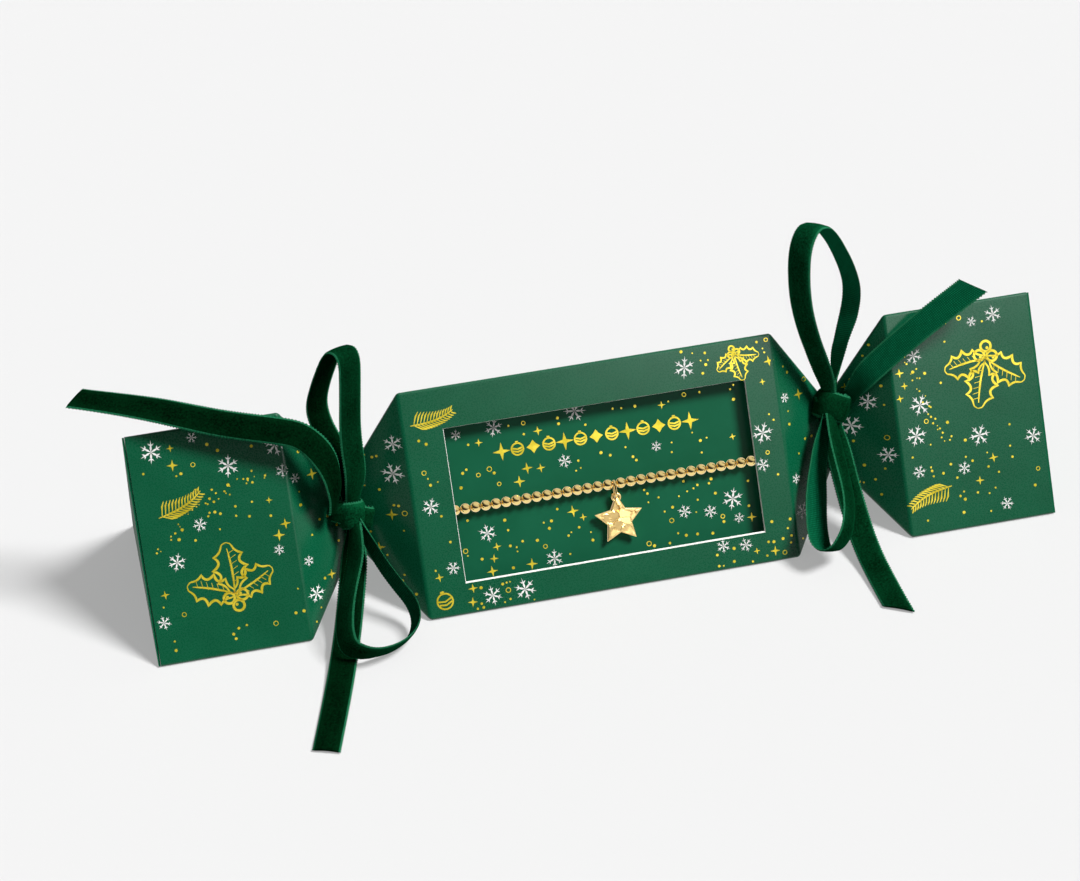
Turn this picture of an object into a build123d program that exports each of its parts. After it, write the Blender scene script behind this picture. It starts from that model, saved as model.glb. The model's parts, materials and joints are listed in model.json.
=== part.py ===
from build123d import *
import os
from math import atan, cos, floor, pi, radians, sin, sqrt, tan

# Cracker-shaped gift carton: a triangular card tube that lies on its base along X,
# drawn in at two waists where ribbons are tied, with a bracelet shown in a window.
# Millimetres; the origin is on the floor under the middle of the carton.

# Carton
side = 68.0
board = 0.6
middle_length = 111.0
taper_run = 17.25
waist_side = 20.0
end_length = 44.0
window_length = 90.0
window_height = 45.7
window_low = 9.6
window_shift = 1.2
glue_width = 9.0
glue_end_gap = 2.0
fit_gap = 0.1

# End flaps, hinged on a crease at the floor, with two tuck tabs each
crease_gap = 0.1
crease_setback = 2.0
flap_inset = 0.4
tuck_gap = 0.5
tuck_depth = 5.5
tuck_width = 21.0
tuck_from_ridge = 17.0
tuck_flare = 65.0

# Bracelet, star charm and the card that carries them
card_length = 106.0
return_width = 14.0
bead_diameter = 3.0
bead_gap = 0.03
bead_bore = 0.9
bead_card_gap = 0.25
bead_panel_gap = 0.3
back_bead_count = 26
elastic_diameter = 0.7
notch_depth = 2.5
notch_width = 2.4
notch_gap = 0.6
bracelet_height = 30.9
charm_x = 3.9
ring_wire = 0.7
ring_turn_radius = 1.25
ring_half_run = 1.115
ring_play = 0.08
ring_bead_gap = 0.1
star_radius = 7.6
star_notch_radius = 3.7
star_thickness = 1.4
star_chamfer = 0.3
star_points = 5
eyelet_radius = 1.45
eyelet_hole = 1.5
eyelet_drop = 6.65

# Velvet ribbon
ribbon_width = 8.0
ribbon_thickness = 0.9
bend_share = 0.45
wrap_width = 6.4
wrap_thickness = 3.2
wrap_corner = 2.0
wrap_gap = 0.3
knot_width = 10.4
knot_height = 8.6
knot_depth = 5.6
knot_fillet = 1.6
knot_gap = 0.2
left_knot_rise = 0.0
right_knot_rise = 8.5

# Sizes that follow from those above
root3 = sqrt(3)
mitre_angle = 30
axis_height = side * root3 / 6
middle_fold = middle_length / 2
waist_x = middle_fold + taper_run
end_fold = waist_x + taper_run
end_x = end_fold + end_length
waist_inradius = waist_side * root3 / 6
taper_slope = atan((axis_height - waist_inradius) / taper_run)
taper_depth = board / cos(taper_slope)
front_normal = Vector(0, -root3 / 2, 0.5)
up_face = Vector(0, 0.5, root3 / 2)
front_face = Plane(origin=(0, -side / 2, 0), x_dir=(1, 0, 0), z_dir=front_normal)
wall_turns = {"base": 0, "back": 120, "front": 240}
card_rise = bead_card_gap + bead_diameter / 2
insert_depth = board + bead_panel_gap + bead_diameter + bead_card_gap
hinge_x = end_x + crease_gap + board / 2
hinge_height = board / 2
knot_stand = waist_inradius + wrap_thickness + knot_gap + knot_depth / 2

os.makedirs("parts", exist_ok=True)


def save(piece, label):
    """Names a finished piece and writes it as one STEP file."""
    piece.part.label = label
    export_step(piece.part, f"parts/{label}.step")


def across_tube(x, turn):
    """The plane across the tube at x, turned so that one wall lies along its local X."""
    along_wall = (0, cos(radians(turn)), sin(radians(turn)))
    return Plane(origin=(x, 0, axis_height), x_dir=along_wall, z_dir=(1, 0, 0))


def wall(x_start, start_side, x_end, end_side, depth, turn):
    """One flat wall of the tube between two stations, mitred along its ridges."""
    with BuildPart() as plate:
        for x, width in ((x_start, start_side), (x_end, end_side)):
            with BuildSketch(across_tube(x, turn)):
                with Locations((0, -width * root3 / 6)):
                    Trapezoid(width, depth, mitre_angle, align=(Align.CENTER, Align.MIN))
        loft(ruled=True)
    return plate


def glue_flap(x_start, x_end):
    """A strip glued to the back wall's inner face, beside the ridge at the base."""
    ridge_clear = -side / 2 + 2 * root3 * board + fit_gap
    with BuildPart() as strip:
        with BuildSketch(across_tube(min(x_start, x_end) + glue_end_gap, wall_turns["back"])):
            with Locations((ridge_clear, -axis_height + board)):
                Rectangle(glue_width, board, align=(Align.MIN, Align.MIN))
        extrude(amount=abs(x_end - x_start) - 2 * glue_end_gap)
    return strip


def stadium_tube(plane, half_run, turn_radius, wire):
    """A closed round tube: two straight runs along the plane's X and two half turns."""
    with BuildPart(plane) as tube:
        with Locations((0, turn_radius, 0), (0, -turn_radius, 0)):
            Cylinder(wire / 2, 2 * half_run, rotation=(0, 90, 0))
        for end in (1, -1):
            with Locations((end * half_run, 0, 0)):
                Torus(turn_radius, wire / 2, major_angle=180, rotation=(0, 0, -90 * end), align=None)
    return tube


def bead_row(plane, places):
    """Round beads, each bored along the plane's X, in one row."""
    with BuildPart() as bead:
        with BuildSketch():
            Circle(bead_diameter / 2)
            with Locations((0, bead_bore / 2)):
                Rectangle(bead_diameter, bead_diameter, align=(Align.CENTER, Align.MAX), mode=Mode.SUBTRACT)
        revolve(axis=Axis.X)
    with BuildPart(plane) as row:
        with Locations(*[(x, 0, 0) for x in places]):
            add(bead.part)
    return row


def bend_radii(points):
    """The largest arc that each corner of a route has room for."""
    radii = []
    for before, corner, after in zip(points, points[1:], points[2:]):
        run_in = Vector(*corner) - Vector(*before)
        run_out = Vector(*after) - Vector(*corner)
        half_turn = radians(run_in.get_angle(run_out)) / 2
        radii.append(bend_share * min(run_in.length, run_out.length) / tan(half_turn))
    return radii


def ribbon(knot, across, along, shift, points, label):
    """A free stretch of ribbon: a route of runs and arcs in one plane, as wide as the ribbon.

    across is the ribbon's width direction, along is the route's first axis, and shift sets
    the route's plane off the knot's middle, where the points are counted from.
    """
    radii = bend_radii(points)
    normal = Vector(*across).normalized()
    first_axis = Vector(*along) - normal * normal.dot(Vector(*along))
    with BuildPart() as band:
        with BuildSketch(Plane(origin=knot, x_dir=first_axis, z_dir=normal).offset(shift)):
            with BuildLine() as route:
                FilletPolyline(*points, radius=radii)
            trace(line_width=ribbon_thickness)
        extrude(amount=ribbon_width / 2, both=True)
    length = sum(edge.length for edge in route.edges())
    fill = band.part.volume / (length * ribbon_thickness * ribbon_width)
    print(label, "length", round(length, 1), "fill", round(fill, 4), "radii", [round(r, 1) for r in radii])
    save(band, label)


# Middle section
for name, turn in wall_turns.items():
    with BuildPart() as panel:
        add(wall(-middle_fold, side, middle_fold, side, board, turn).part)
        if name == "front":
            with BuildSketch(front_face):
                with Locations((window_shift, window_low + window_height / 2)):
                    Rectangle(window_length, window_height)
            extrude(amount=2 * board, both=True, mode=Mode.SUBTRACT)
    save(panel, f"middle_{name}_panel")
save(glue_flap(-middle_fold, middle_fold), "middle_glue_flap")

# Waists and ends, the left one towards -X
for hand, sign in (("left", -1), ("right", 1)):
    for name, turn in wall_turns.items():
        inner = wall(sign * middle_fold, side, sign * waist_x, waist_side, taper_depth, turn)
        save(inner, f"{hand}_inner_taper_{name}")
        outer = wall(sign * waist_x, waist_side, sign * end_fold, side, taper_depth, turn)
        save(outer, f"{hand}_outer_taper_{name}")
        end = wall(sign * end_fold, side, sign * end_x, side, board, turn)
        save(end, f"{hand}_end_{name}_panel")
    save(glue_flap(sign * end_fold, sign * end_x), f"{hand}_end_glue_flap")

    # Triangular flap; the round bead along its foot is the crease that it folds on
    flap_side = side - 2 * root3 * flap_inset
    flap_face = sign * (end_x + crease_gap)
    with BuildPart() as flap:
        with BuildSketch(Plane.YZ.offset(flap_face)):
            with Locations((0, axis_height)):
                RegularPolygon(flap_side / root3, 3, rotation=90)
        extrude(amount=sign * board)
        with Locations((sign * hinge_x, 0, hinge_height)):
            Cylinder(hinge_height, side - 2 * crease_setback, rotation=(90, 0, 0))
    save(flap, f"{hand}_end_flap")

    tab_low = side - tuck_from_ridge - tuck_width
    tab_inner = sign * (end_x - tuck_depth)
    tab_flare = (tuck_depth + crease_gap) / tan(radians(tuck_flare))
    with BuildPart() as tabs:
        with BuildSketch(front_face.offset(-board - tuck_gap)):
            with BuildLine():
                Polyline(
                    (flap_face, tab_low),
                    (flap_face, tab_low + tuck_width),
                    (tab_inner, tab_low + tuck_width - tab_flare),
                    (tab_inner, tab_low + tab_flare),
                    close=True,
                )
            make_face()
        extrude(amount=-board)
        mirror(about=Plane.XZ)
    save(tabs, f"{hand}_end_tuck_tabs")

# Card behind the window, with a return folded along each long edge
edge_rise = (insert_depth + board) / root3 + 4 * board / root3 + fit_gap
card_height = side - 2 * edge_rise
with BuildPart() as insert_card:
    with BuildSketch(front_face.offset(-insert_depth)):
        with Locations((0, side / 2)):
            Rectangle(card_length, card_height)
        for end in (1, -1):
            with Locations((end * card_length / 2, bracelet_height)):
                Rectangle(2 * notch_depth, notch_width, mode=Mode.SUBTRACT)
    extrude(amount=-board)
save(insert_card, "insert_card")

return_y = -side / 2 + 2 * insert_depth / root3 + 2 * board / root3
with BuildPart() as base_return:
    with Locations((0, return_y, board)):
        Box(card_length, return_width, board, align=(Align.CENTER, Align.MIN, Align.MIN))
save(base_return, "insert_base_return")

face_middle = Plane(origin=front_face.from_local_coords((0, side / 2, 0)), z_dir=up_face)
with BuildPart() as back_return:
    mirror(base_return.part, about=face_middle)
save(back_return, "insert_back_return")

# Elastic that runs over the card's front and back and turns in its end notches
elastic_turn = (2 * card_rise + board) / 2
elastic_half_run = card_length / 2 - notch_gap - elastic_diameter / 2 - elastic_turn
card_middle = front_face.from_local_coords((0, bracelet_height, -insert_depth - board / 2))
elastic_plane = Plane(origin=card_middle, x_dir=(1, 0, 0), z_dir=up_face)
elastic = stadium_tube(elastic_plane, elastic_half_run, elastic_turn, elastic_diameter)
save(elastic, "elastic_cord")

# Beads: a close row each side of the charm in front, spread out behind
bead_pitch = bead_diameter + bead_gap
first_bead = bead_diameter / 2 + ring_wire / 2 + ring_bead_gap
bead_limit = elastic_half_run - bead_diameter / 2
left_beads = floor((charm_x + bead_limit - first_bead) / bead_pitch) + 1
right_beads = floor((bead_limit - charm_x - first_bead) / bead_pitch) + 1
front_places = [charm_x - first_bead - i * bead_pitch for i in range(left_beads)]
front_places += [charm_x + first_bead + i * bead_pitch for i in range(right_beads)]
back_pitch = 2 * bead_limit / (back_bead_count - 1)
back_places = [i * back_pitch - bead_limit for i in range(back_bead_count)]
front_row = Plane(origin=card_middle + front_normal * elastic_turn, x_dir=(1, 0, 0), z_dir=up_face)
back_row = Plane(origin=card_middle - front_normal * elastic_turn, x_dir=(1, 0, 0), z_dir=up_face)
save(bead_row(front_row, front_places), "front_beads")
save(bead_row(back_row, back_places), "back_beads")

# Oval jump ring round the elastic, in the plane across it
elastic_centre = Vector(charm_x, 0, 0) + card_middle + front_normal * elastic_turn
ring_hang = ring_turn_radius - ring_wire / 2 - elastic_diameter / 2 - ring_play + ring_half_run
ring_plane = Plane(origin=elastic_centre - up_face * ring_hang, x_dir=up_face, z_dir=(1, 0, 0))
save(stadium_tube(ring_plane, ring_half_run, ring_turn_radius, ring_wire), "jump_ring")

# Star that hangs by an eyelet on the ring's lower turn
eyelet_centre = elastic_centre - up_face * (ring_hang + ring_half_run + ring_turn_radius)
star_plane = Plane(origin=eyelet_centre, x_dir=(1, 0, 0), z_dir=front_normal)
star_corners = []
for i in range(2 * star_points):
    reach = star_notch_radius if i % 2 else star_radius
    angle = pi / 2 + i * pi / star_points
    star_corners.append((reach * cos(angle), reach * sin(angle) - eyelet_drop))
with BuildPart() as star:
    with BuildSketch(star_plane.offset(-star_thickness / 2)):
        with BuildLine():
            Polyline(*star_corners, close=True)
        make_face()
        Circle(eyelet_radius)
    extrude(amount=star_thickness)
    chamfer(star.faces().sort_by(Axis(eyelet_centre, front_normal))[-1].outer_wire().edges(), star_chamfer)
    with Locations(star_plane):
        Hole(eyelet_hole / 2)
save(star, "star_charm")

# Ribbon gathered round each waist, filling the groove between the tapers
wrap_inradius = waist_inradius + wrap_thickness
gap_side = 2 * root3 * wrap_gap / cos(taper_slope)
knots = {}
for hand, sign, rise in (("left", -1, left_knot_rise), ("right", 1, right_knot_rise)):
    with BuildPart() as groove:
        for x, width in ((middle_fold, side), (waist_x, waist_side), (end_fold, side)):
            with BuildSketch(Plane.YZ.offset(sign * x)):
                with Locations((0, axis_height)):
                    RegularPolygon((width + gap_side) / root3, 3, rotation=90)
        loft(ruled=True)
    with BuildPart() as wrap:
        with BuildSketch(Plane.YZ.offset(sign * waist_x)) as section:
            with Locations((0, axis_height)):
                RegularPolygon(2 * wrap_inradius, 3, rotation=90)
            fillet(section.vertices(), wrap_corner)
        extrude(amount=wrap_width / 2, both=True)
        add(groove.part, mode=Mode.SUBTRACT)
    save(wrap, f"{hand}_waist_wrap")

    knots[hand] = Vector(sign * waist_x, 0, axis_height) + front_normal * knot_stand + up_face * rise
    with BuildPart(Plane(origin=knots[hand], x_dir=(1, 0, 0), z_dir=front_normal)) as knot:
        Box(knot_width, knot_height, knot_depth)
        fillet(knot.edges(), knot_fillet)
    save(knot, f"{hand}_knot")

# Bow loops and tails; each row is width direction, first axis, plane's shift and route
bow_routes = {
    "left": {
        "upper_loop": ((-0.85, -0.5, 0.15), (1, 0, 0), 0, [
            (0.8, 3), (3.2, 8.5), (4.5, 14.5), (4.1, 21.6), (4.6, 28.4), (6, 35.4), (7.3, 42.2),
            (8.4, 48.6), (6.6, 52), (1.6, 51.2), (-3.8, 44.1), (-9.2, 35.4), (-10.6, 30.6), (-9, 25.6),
            (-5.4, 21.2), (-2.6, 16.5), (-1.2, 10), (-0.8, 3)]),
        "lower_loop": ((0.31, -0.5, 0.81), (0.943, 0.272, -0.193), 1.4, [
            (-0.8, -3), (-2.8, -9.9), (-4.8, -15.1), (-9.2, -22.4), (-12.4, -28.7), (-14.8, -35.3),
            (-14.7, -39.9), (-10.8, -42.3), (-6.2, -42.9), (-0.3, -42.3), (5.4, -39.7), (8.6, -35.3),
            (8.8, -30), (6, -23.8), (3.5, -17), (1.9, -10.3), (0.8, -3)]),
        "upper_tail": ((0.207, 0.971, -0.124), (-1, 0, 0), -5.4, [
            (4.7, 4.4), (3.7, 8.2), (3.2, 12.4), (4.1, 19), (6, 23.8), (8.9, 27.9), (12.4, 30.7), (17.9, 32.2),
            (32.3, 35.2), (42.2, 38.3), (51, 41.2), (64.1, 44.5), (73.7, 46.6)]),
        "lower_tail": ((0.956, -0.293, 0), (-0.293, -0.956, 0), 0.6, [
            (0.6, 3.8), (4.6, 9), (11.6, 14.6), (20.6, 19.2), (30, 22.6), (45, 24.8), (60, 24.95),
            (73.7, 24.85)]),
    },
    "right": {
        "upper_loop": ((0.6, -0.75, 0.18), (1, 0, 0), 0, [
            (-0.8, 3), (-2.6, 10), (-5.6, 17.5), (-9.6, 27.2), (-12.1, 37.1), (-12.2, 46.5), (-10.6, 53.9),
            (-6.3, 58.4), (-1, 57.6), (4, 52.7), (9.3, 44.6), (13.1, 35.8), (13.2, 30.3), (11, 24.8),
            (7.6, 20), (4.6, 15), (2.6, 9.5), (0.8, 3)]),
        "lower_loop": ((-0.56, -0.42, 0.71), (0.8, -0.51, 0.33), 2, [
            (-0.8, -3), (-2, -10.5), (-3.4, -19), (-3.8, -28), (-3.6, -37), (-2, -43.8), (2.6, -44.6),
            (6.2, -40.1), (7.2, -33.9), (6.8, -28.2), (5.2, -22), (3.6, -16), (2, -9.5), (0.8, -3)]),
        "upper_tail": ((-0.3, 0.9, 0.3), (1, 0, 0), -1.5, [
            (5.2, -2.6), (7.9, -9.4), (15.8, -15.8), (25.8, -22.5), (34.6, -27.3), (44.4, -32.2)]),
        "lower_tail": ((0.998, 0.056, 0), (0.056, -0.998, 0), 0.2, [
            (0.2, 4.2), (3.6, 9.6), (11, 16.8), (20, 24), (30.4, 30), (45, 32.1), (58, 32.2)]),
    },
}
for hand, routes in bow_routes.items():
    for name, (across, along, shift, points) in routes.items():
        ribbon(knots[hand], across, along, shift, points, f"{hand}_{name}")
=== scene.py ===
import json
import math
import random

import bmesh
import bpy
from mathutils import Matrix, Vector

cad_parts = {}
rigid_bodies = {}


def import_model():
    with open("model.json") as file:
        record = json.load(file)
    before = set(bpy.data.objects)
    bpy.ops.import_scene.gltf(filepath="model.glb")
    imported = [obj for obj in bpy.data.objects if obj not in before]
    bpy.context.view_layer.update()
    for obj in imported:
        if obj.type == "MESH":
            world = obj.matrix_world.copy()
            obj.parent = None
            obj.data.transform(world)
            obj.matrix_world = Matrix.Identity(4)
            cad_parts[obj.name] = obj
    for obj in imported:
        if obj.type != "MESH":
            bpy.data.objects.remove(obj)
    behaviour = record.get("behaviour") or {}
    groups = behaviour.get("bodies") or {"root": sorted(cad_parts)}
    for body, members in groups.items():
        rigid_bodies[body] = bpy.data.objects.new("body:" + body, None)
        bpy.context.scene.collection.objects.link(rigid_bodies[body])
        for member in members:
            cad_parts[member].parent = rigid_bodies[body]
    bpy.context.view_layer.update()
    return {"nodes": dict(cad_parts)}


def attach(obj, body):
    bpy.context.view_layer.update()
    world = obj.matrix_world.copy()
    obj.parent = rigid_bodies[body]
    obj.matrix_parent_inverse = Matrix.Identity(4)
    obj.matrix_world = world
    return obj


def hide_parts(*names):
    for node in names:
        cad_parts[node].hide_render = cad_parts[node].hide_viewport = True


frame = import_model()
MM = 0.001
ROOT3 = math.sqrt(3)
nodes = frame["nodes"]

# Carton sizes, millimetres
SIDE = 68.0
BOARD = 0.6
AXIS = SIDE * ROOT3 / 6
FOLD, WAIST, END_FOLD, END = 55.5, 72.75, 90.0, 134.0
WAIST_IN = 20.0 * ROOT3 / 6
WINDOW = (-43.8, 46.2, 9.6, 55.3)
INSERT_DEPTH = 4.15
# Outward and upward directions of the two printed walls
FRONT_N = Vector((0, -ROOT3 / 2, 0.5))
FRONT_U = Vector((0, 0.5, ROOT3 / 2))
FACES = {
    "front": (FRONT_N, FRONT_U),
    "back": (Vector((0, ROOT3 / 2, 0.5)), Vector((0, -0.5, ROOT3 / 2))),
}


def add_object(name, verts, faces, mats, indices=None, smooth=True):
    """A mesh object from millimetre points, with one material index per face."""
    mesh = bpy.data.meshes.new(name)
    mesh.from_pydata([tuple(Vector(v) * MM) for v in verts], [], faces)
    for mat in mats:
        mesh.materials.append(mat)
    if indices:
        mesh.polygons.foreach_set("material_index", indices)
    mesh.polygons.foreach_set("use_smooth", [smooth] * len(mesh.polygons))
    mesh.update()
    obj = bpy.data.objects.new(name, mesh)
    bpy.context.scene.collection.objects.link(obj)
    return obj


def sharpen(obj, angle):
    """Marks the edges that turn by more than angle degrees as sharp."""
    bm = bmesh.new()
    bm.from_mesh(obj.data)
    bmesh.ops.recalc_face_normals(bm, faces=bm.faces)
    for edge in bm.edges:
        if len(edge.link_faces) == 2:
            edge.smooth = edge.calc_face_angle(0) < math.radians(angle)
    bm.to_mesh(obj.data)
    bm.free()


def weighted(obj):
    """Keeps broad faces looking flat beside their rounded folds."""
    mod = obj.modifiers.new("flat_faces", "WEIGHTED_NORMAL")
    mod.keep_sharp = True
    mod.weight = 80


# Materials

class Shader:
    """A material with short calls to add nodes to it."""

    def __init__(self, name):
        self.mat = bpy.data.materials.new(name)
        self.mat.use_nodes = True
        self.tree = self.mat.node_tree
        self.bsdf = self.tree.nodes["Principled BSDF"]
        self.where = self.add("ShaderNodeTexCoord").outputs["Object"]

    def add(self, kind, **settings):
        node = self.tree.nodes.new(kind)
        for key, value in settings.items():
            setattr(node, key, value)
        return node

    def put(self, socket, value):
        if isinstance(value, bpy.types.NodeSocket):
            self.tree.links.new(value, socket)
        elif isinstance(value, (tuple, list)) and len(value) == 3 and len(socket.default_value) == 4:
            socket.default_value = (*value, 1.0)
        else:
            socket.default_value = value

    def base(self, **values):
        for key, value in values.items():
            self.put(self.bsdf.inputs[key.replace("_", " ")], value)

    def noise(self, scale, detail=2.0, stretch=None):
        node = self.add("ShaderNodeTexNoise")
        self.put(node.inputs["Scale"], scale)
        self.put(node.inputs["Detail"], detail)
        source = self.where
        if stretch:
            mapping = self.add("ShaderNodeMapping")
            self.put(mapping.inputs["Vector"], source)
            mapping.inputs["Scale"].default_value = stretch
            source = mapping.outputs[0]
        self.put(node.inputs["Vector"], source)
        return node.outputs["Fac"]

    def ramp(self, value, low, high, a, b):
        """Maps value from low..high to the colours a..b."""
        node = self.add("ShaderNodeValToRGB")
        self.put(node.inputs[0], value)
        for stop, place, colour in zip(node.color_ramp.elements, (low, high), (a, b)):
            stop.position, stop.color = place, (*colour, 1)
        return node.outputs[0]

    def span(self, value, low, high, a, b):
        """Maps value from low..high to the numbers a..b."""
        node = self.add("ShaderNodeMapRange")
        for socket, number in zip(node.inputs[1:5], (low, high, a, b)):
            socket.default_value = number
        self.put(node.inputs[0], value)
        return node.outputs[0]

    def math(self, operation, a, b):
        node = self.add("ShaderNodeMath", operation=operation)
        self.put(node.inputs[0], a)
        self.put(node.inputs[1], b)
        return node.outputs[0]

    def bump(self, height, strength, distance):
        node = self.add("ShaderNodeBump")
        self.put(node.inputs["Height"], height)
        node.inputs["Strength"].default_value = strength
        node.inputs["Distance"].default_value = distance
        self.put(self.bsdf.inputs["Normal"], node.outputs[0])


def card_material(name, dark, light, rough, shine):
    """Coated board: soft mottling in the print and a fine tooth."""
    s = Shader(name)
    s.base(Base_Color=s.ramp(s.noise(90, 4), 0.3, 0.7, dark, light))
    tooth = s.noise(2600, 3)
    s.base(Roughness=s.span(tooth, 0.3, 0.7, rough - 0.03, rough + 0.05), Specular_IOR_Level=shine)
    s.bump(s.math("ADD", tooth, s.math("MULTIPLY", s.noise(180, 2), 1.5)), 0.05, 0.00001)
    return s.mat


def plain_board(name, dark, light):
    s = Shader(name)
    fibre = s.noise(1500, 4, (0.25, 1, 1))
    s.base(Base_Color=s.ramp(fibre, 0.3, 0.7, dark, light), Roughness=0.85)
    s.bump(fibre, 0.3, 0.00008)
    return s.mat


def velvet_material(name, dark, light, sheen=0.25):
    """Short pile: nearly black face on, with a green bloom at a glancing angle; the lighter band along its
    edges is a painted sheen.
    """
    s = Shader(name)
    across = s.add("ShaderNodeSeparateXYZ")
    s.put(across.inputs[0], s.add("ShaderNodeTexCoord").outputs["UV"])
    # Painted sheen: the base colour lightens towards both edges of the band
    edge = s.span(s.math("ABSOLUTE", across.outputs["Y"], 0.0), 1.6, 4.0, 0.0, 0.16)
    pile = s.noise(2000, 3)
    crush = s.noise(120, 2)
    shade = s.math("ADD", s.math("MULTIPLY", pile, 0.72), s.math("MULTIPLY", crush, 0.28))
    shade = s.math("ADD", shade, edge)
    s.base(Base_Color=s.ramp(shade, 0.34, 0.74, dark, light), Roughness=0.9, Specular_IOR_Level=0.0)
    s.base(Sheen_Weight=sheen, Sheen_Roughness=0.4, Sheen_Tint=(0.004, 0.22, 0.08))
    s.bump(pile, 0.45, 0.0002)
    return s.mat


def woven_material(name, dark, light):
    """The ribbon's plain back: fine ribs across and along the weave."""
    s = Shader(name)
    uv = s.add("ShaderNodeTexCoord").outputs["UV"]
    bands = []
    for direction in "XY":
        wave = s.add("ShaderNodeTexWave", wave_type="BANDS", bands_direction=direction)
        s.put(wave.inputs["Vector"], uv)
        wave.inputs["Scale"].default_value = 0.55
        bands.append(wave.outputs["Fac"])
    weave = s.math("MULTIPLY", *bands)
    worn = s.math("MULTIPLY", weave, s.span(s.noise(600, 3), 0.3, 0.7, 0.6, 1.4))
    s.base(Base_Color=s.ramp(worn, 0.0, 0.8, dark, light), Roughness=0.8, Specular_IOR_Level=0.0)
    s.bump(weave, 0.5, 0.00012)
    return s.mat


def metal_material(name, colour, rough, metallic=1.0):
    s = Shader(name)
    patina = s.noise(420, 3)
    darker = tuple(c * 0.86 for c in colour)
    s.base(Base_Color=s.ramp(patina, 0.3, 0.7, darker, colour), Metallic=metallic)
    s.base(Roughness=s.span(s.noise(2200, 2), 0.3, 0.7, rough * 0.8, rough * 1.25))
    s.bump(s.noise(1300, 2), 0.08, 0.00005)
    return s.mat


def foil_material(name):
    """Hot-stamped gold: part mirror, part warm print, slightly rippled."""
    s = Shader(name)
    ripple = s.noise(300, 2)
    s.base(Base_Color=s.ramp(ripple, 0.35, 0.65, (0.66, 0.53, 0.02), (0.96, 0.76, 0.06)), Metallic=0.45)
    s.base(Roughness=0.3)
    s.bump(ripple, 0.15, 0.0002)
    return s.mat


def ink_material(name):
    s = Shader(name)
    tone = s.ramp(s.noise(900, 2), 0.3, 0.7, (0.68, 0.68, 0.65), (0.86, 0.86, 0.83))
    s.base(Base_Color=tone, Roughness=0.6)
    return s.mat


def elastic_material(name):
    s = Shader(name)
    tone = s.ramp(s.noise(1200, 2), 0.3, 0.7, (0.6, 0.57, 0.5), (0.75, 0.72, 0.66))
    s.base(Base_Color=tone, Roughness=0.35, Transmission_Weight=0.4)
    return s.mat


CARD = card_material("card_print", (0.0012, 0.078, 0.0325), (0.002, 0.089, 0.038), 0.27, 0.32)
# The end flaps are matt, because the pale floor's reflection would grey them
MATT_CARD = card_material("card_print_matt", (0.002, 0.082, 0.035), (0.003, 0.094, 0.041), 0.5, 0.03)
INSERT = card_material("insert_print", (0.0035, 0.087, 0.039), (0.005, 0.099, 0.046), 0.4, 0.08)
CORE = plain_board("card_core", (0.7, 0.69, 0.66), (0.9, 0.89, 0.86))
INSIDE = plain_board("card_inside", (0.32, 0.31, 0.29), (0.45, 0.44, 0.41))
# Painted light and shade: darker and lighter copies of one velvet, and a lighter copy of the weave, stand in
# for the shade and sheen that some stretches show, partly from how the leaning pile catches the light
VELVET = velvet_material("velvet_pile", (0.0003, 0.006, 0.0014), (0.0015, 0.04, 0.013))
VELVET_PAINTED_SHADE = velvet_material("velvet_pile_painted_shade", (0.0002, 0.002, 0.0006), (0.0008, 0.02, 0.0055), 0.1)
VELVET_PAINTED_LIGHT = velvet_material("velvet_pile_painted_light", (0.0004, 0.011, 0.003), (0.0025, 0.075, 0.026))
WOVEN = woven_material("ribbon_back", (0.001, 0.05, 0.02), (0.004, 0.125, 0.055))
WOVEN_PAINTED_LIGHT = woven_material("ribbon_back_painted_light", (0.002, 0.08, 0.032), (0.007, 0.2, 0.09))
PICOT = velvet_material("ribbon_picot", (0.003, 0.05, 0.019), (0.015, 0.135, 0.062))
GOLD = metal_material("bead_gold", (0.97, 0.73, 0.29), 0.11)
HAMMERED = metal_material("star_gold", (1.0, 0.71, 0.28), 0.36, 0.8)
FOIL = foil_material("gold_foil")
INK = ink_material("white_ink")
ELASTIC = elastic_material("clear_elastic")


# Carton skin: rounded triangles strung along X, with the folds rounded too

def rounded(corners, radius, steps):
    """A polyline of 2-D points with its inner corners turned into arcs."""
    out = [corners[0]]
    for a, b, c in zip(corners, corners[1:], corners[2:]):
        a, b, c = Vector(a), Vector(b), Vector(c)
        d1, d2 = (a - b).normalized(), (c - b).normalized()
        half = d1.angle(d2) / 2
        reach = radius / math.tan(half)
        centre = b + (d1 + d2).normalized() * (radius / math.sin(half))
        start, end = b + d1 * reach - centre, b + d2 * reach - centre
        turn = start.angle_signed(end)
        for i in range(steps + 1):
            angle = -turn * i / steps
            x = start.x * math.cos(angle) - start.y * math.sin(angle)
            y = start.x * math.sin(angle) + start.y * math.cos(angle)
            out.append((centre.x + x, centre.y + y))
    return out + [corners[-1]]


FOLD_RADIUS = 2.2
RIDGE_RADIUS = 0.75
CORNER_POINTS = 7
# Where the window's upper and lower edges come among the points of a section
WINDOW_HEAD, WINDOW_SILL = CORNER_POINTS, CORNER_POINTS + 1
# The die-cut window shows a little more of the board's core at its foot than at its other edges
LIP_TOP, LIP_FOOT, LIP_SIDE = 0.15, 0.42, 0.2
half_corners = [(0, AXIS), (FOLD, AXIS), (WAIST, WAIST_IN), (END_FOLD, AXIS), (END, AXIS)]
half_profile = rounded(half_corners, FOLD_RADIUS, 6)[1:]
profile = [(-x, r) for x, r in reversed(half_profile)] + [(x, AXIS) for x in WINDOW[:2]] + half_profile


def inradius(x):
    """The tube's inner radius at x, on its rounded profile."""
    for (x0, r0), (x1, r1) in zip(profile, profile[1:]):
        if x0 <= x <= x1:
            return r0 + (r1 - r0) * (x - x0) / max(x1 - x0, 1e-9)
    return AXIS


def on_wall(face, x, across, lift):
    """A point lift above the carton's wall, across millimetres from the wall's middle line."""
    normal, up = FACES[face]
    return Vector((x, 0, AXIS)) + normal * (inradius(x) + lift) + up * across


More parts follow.
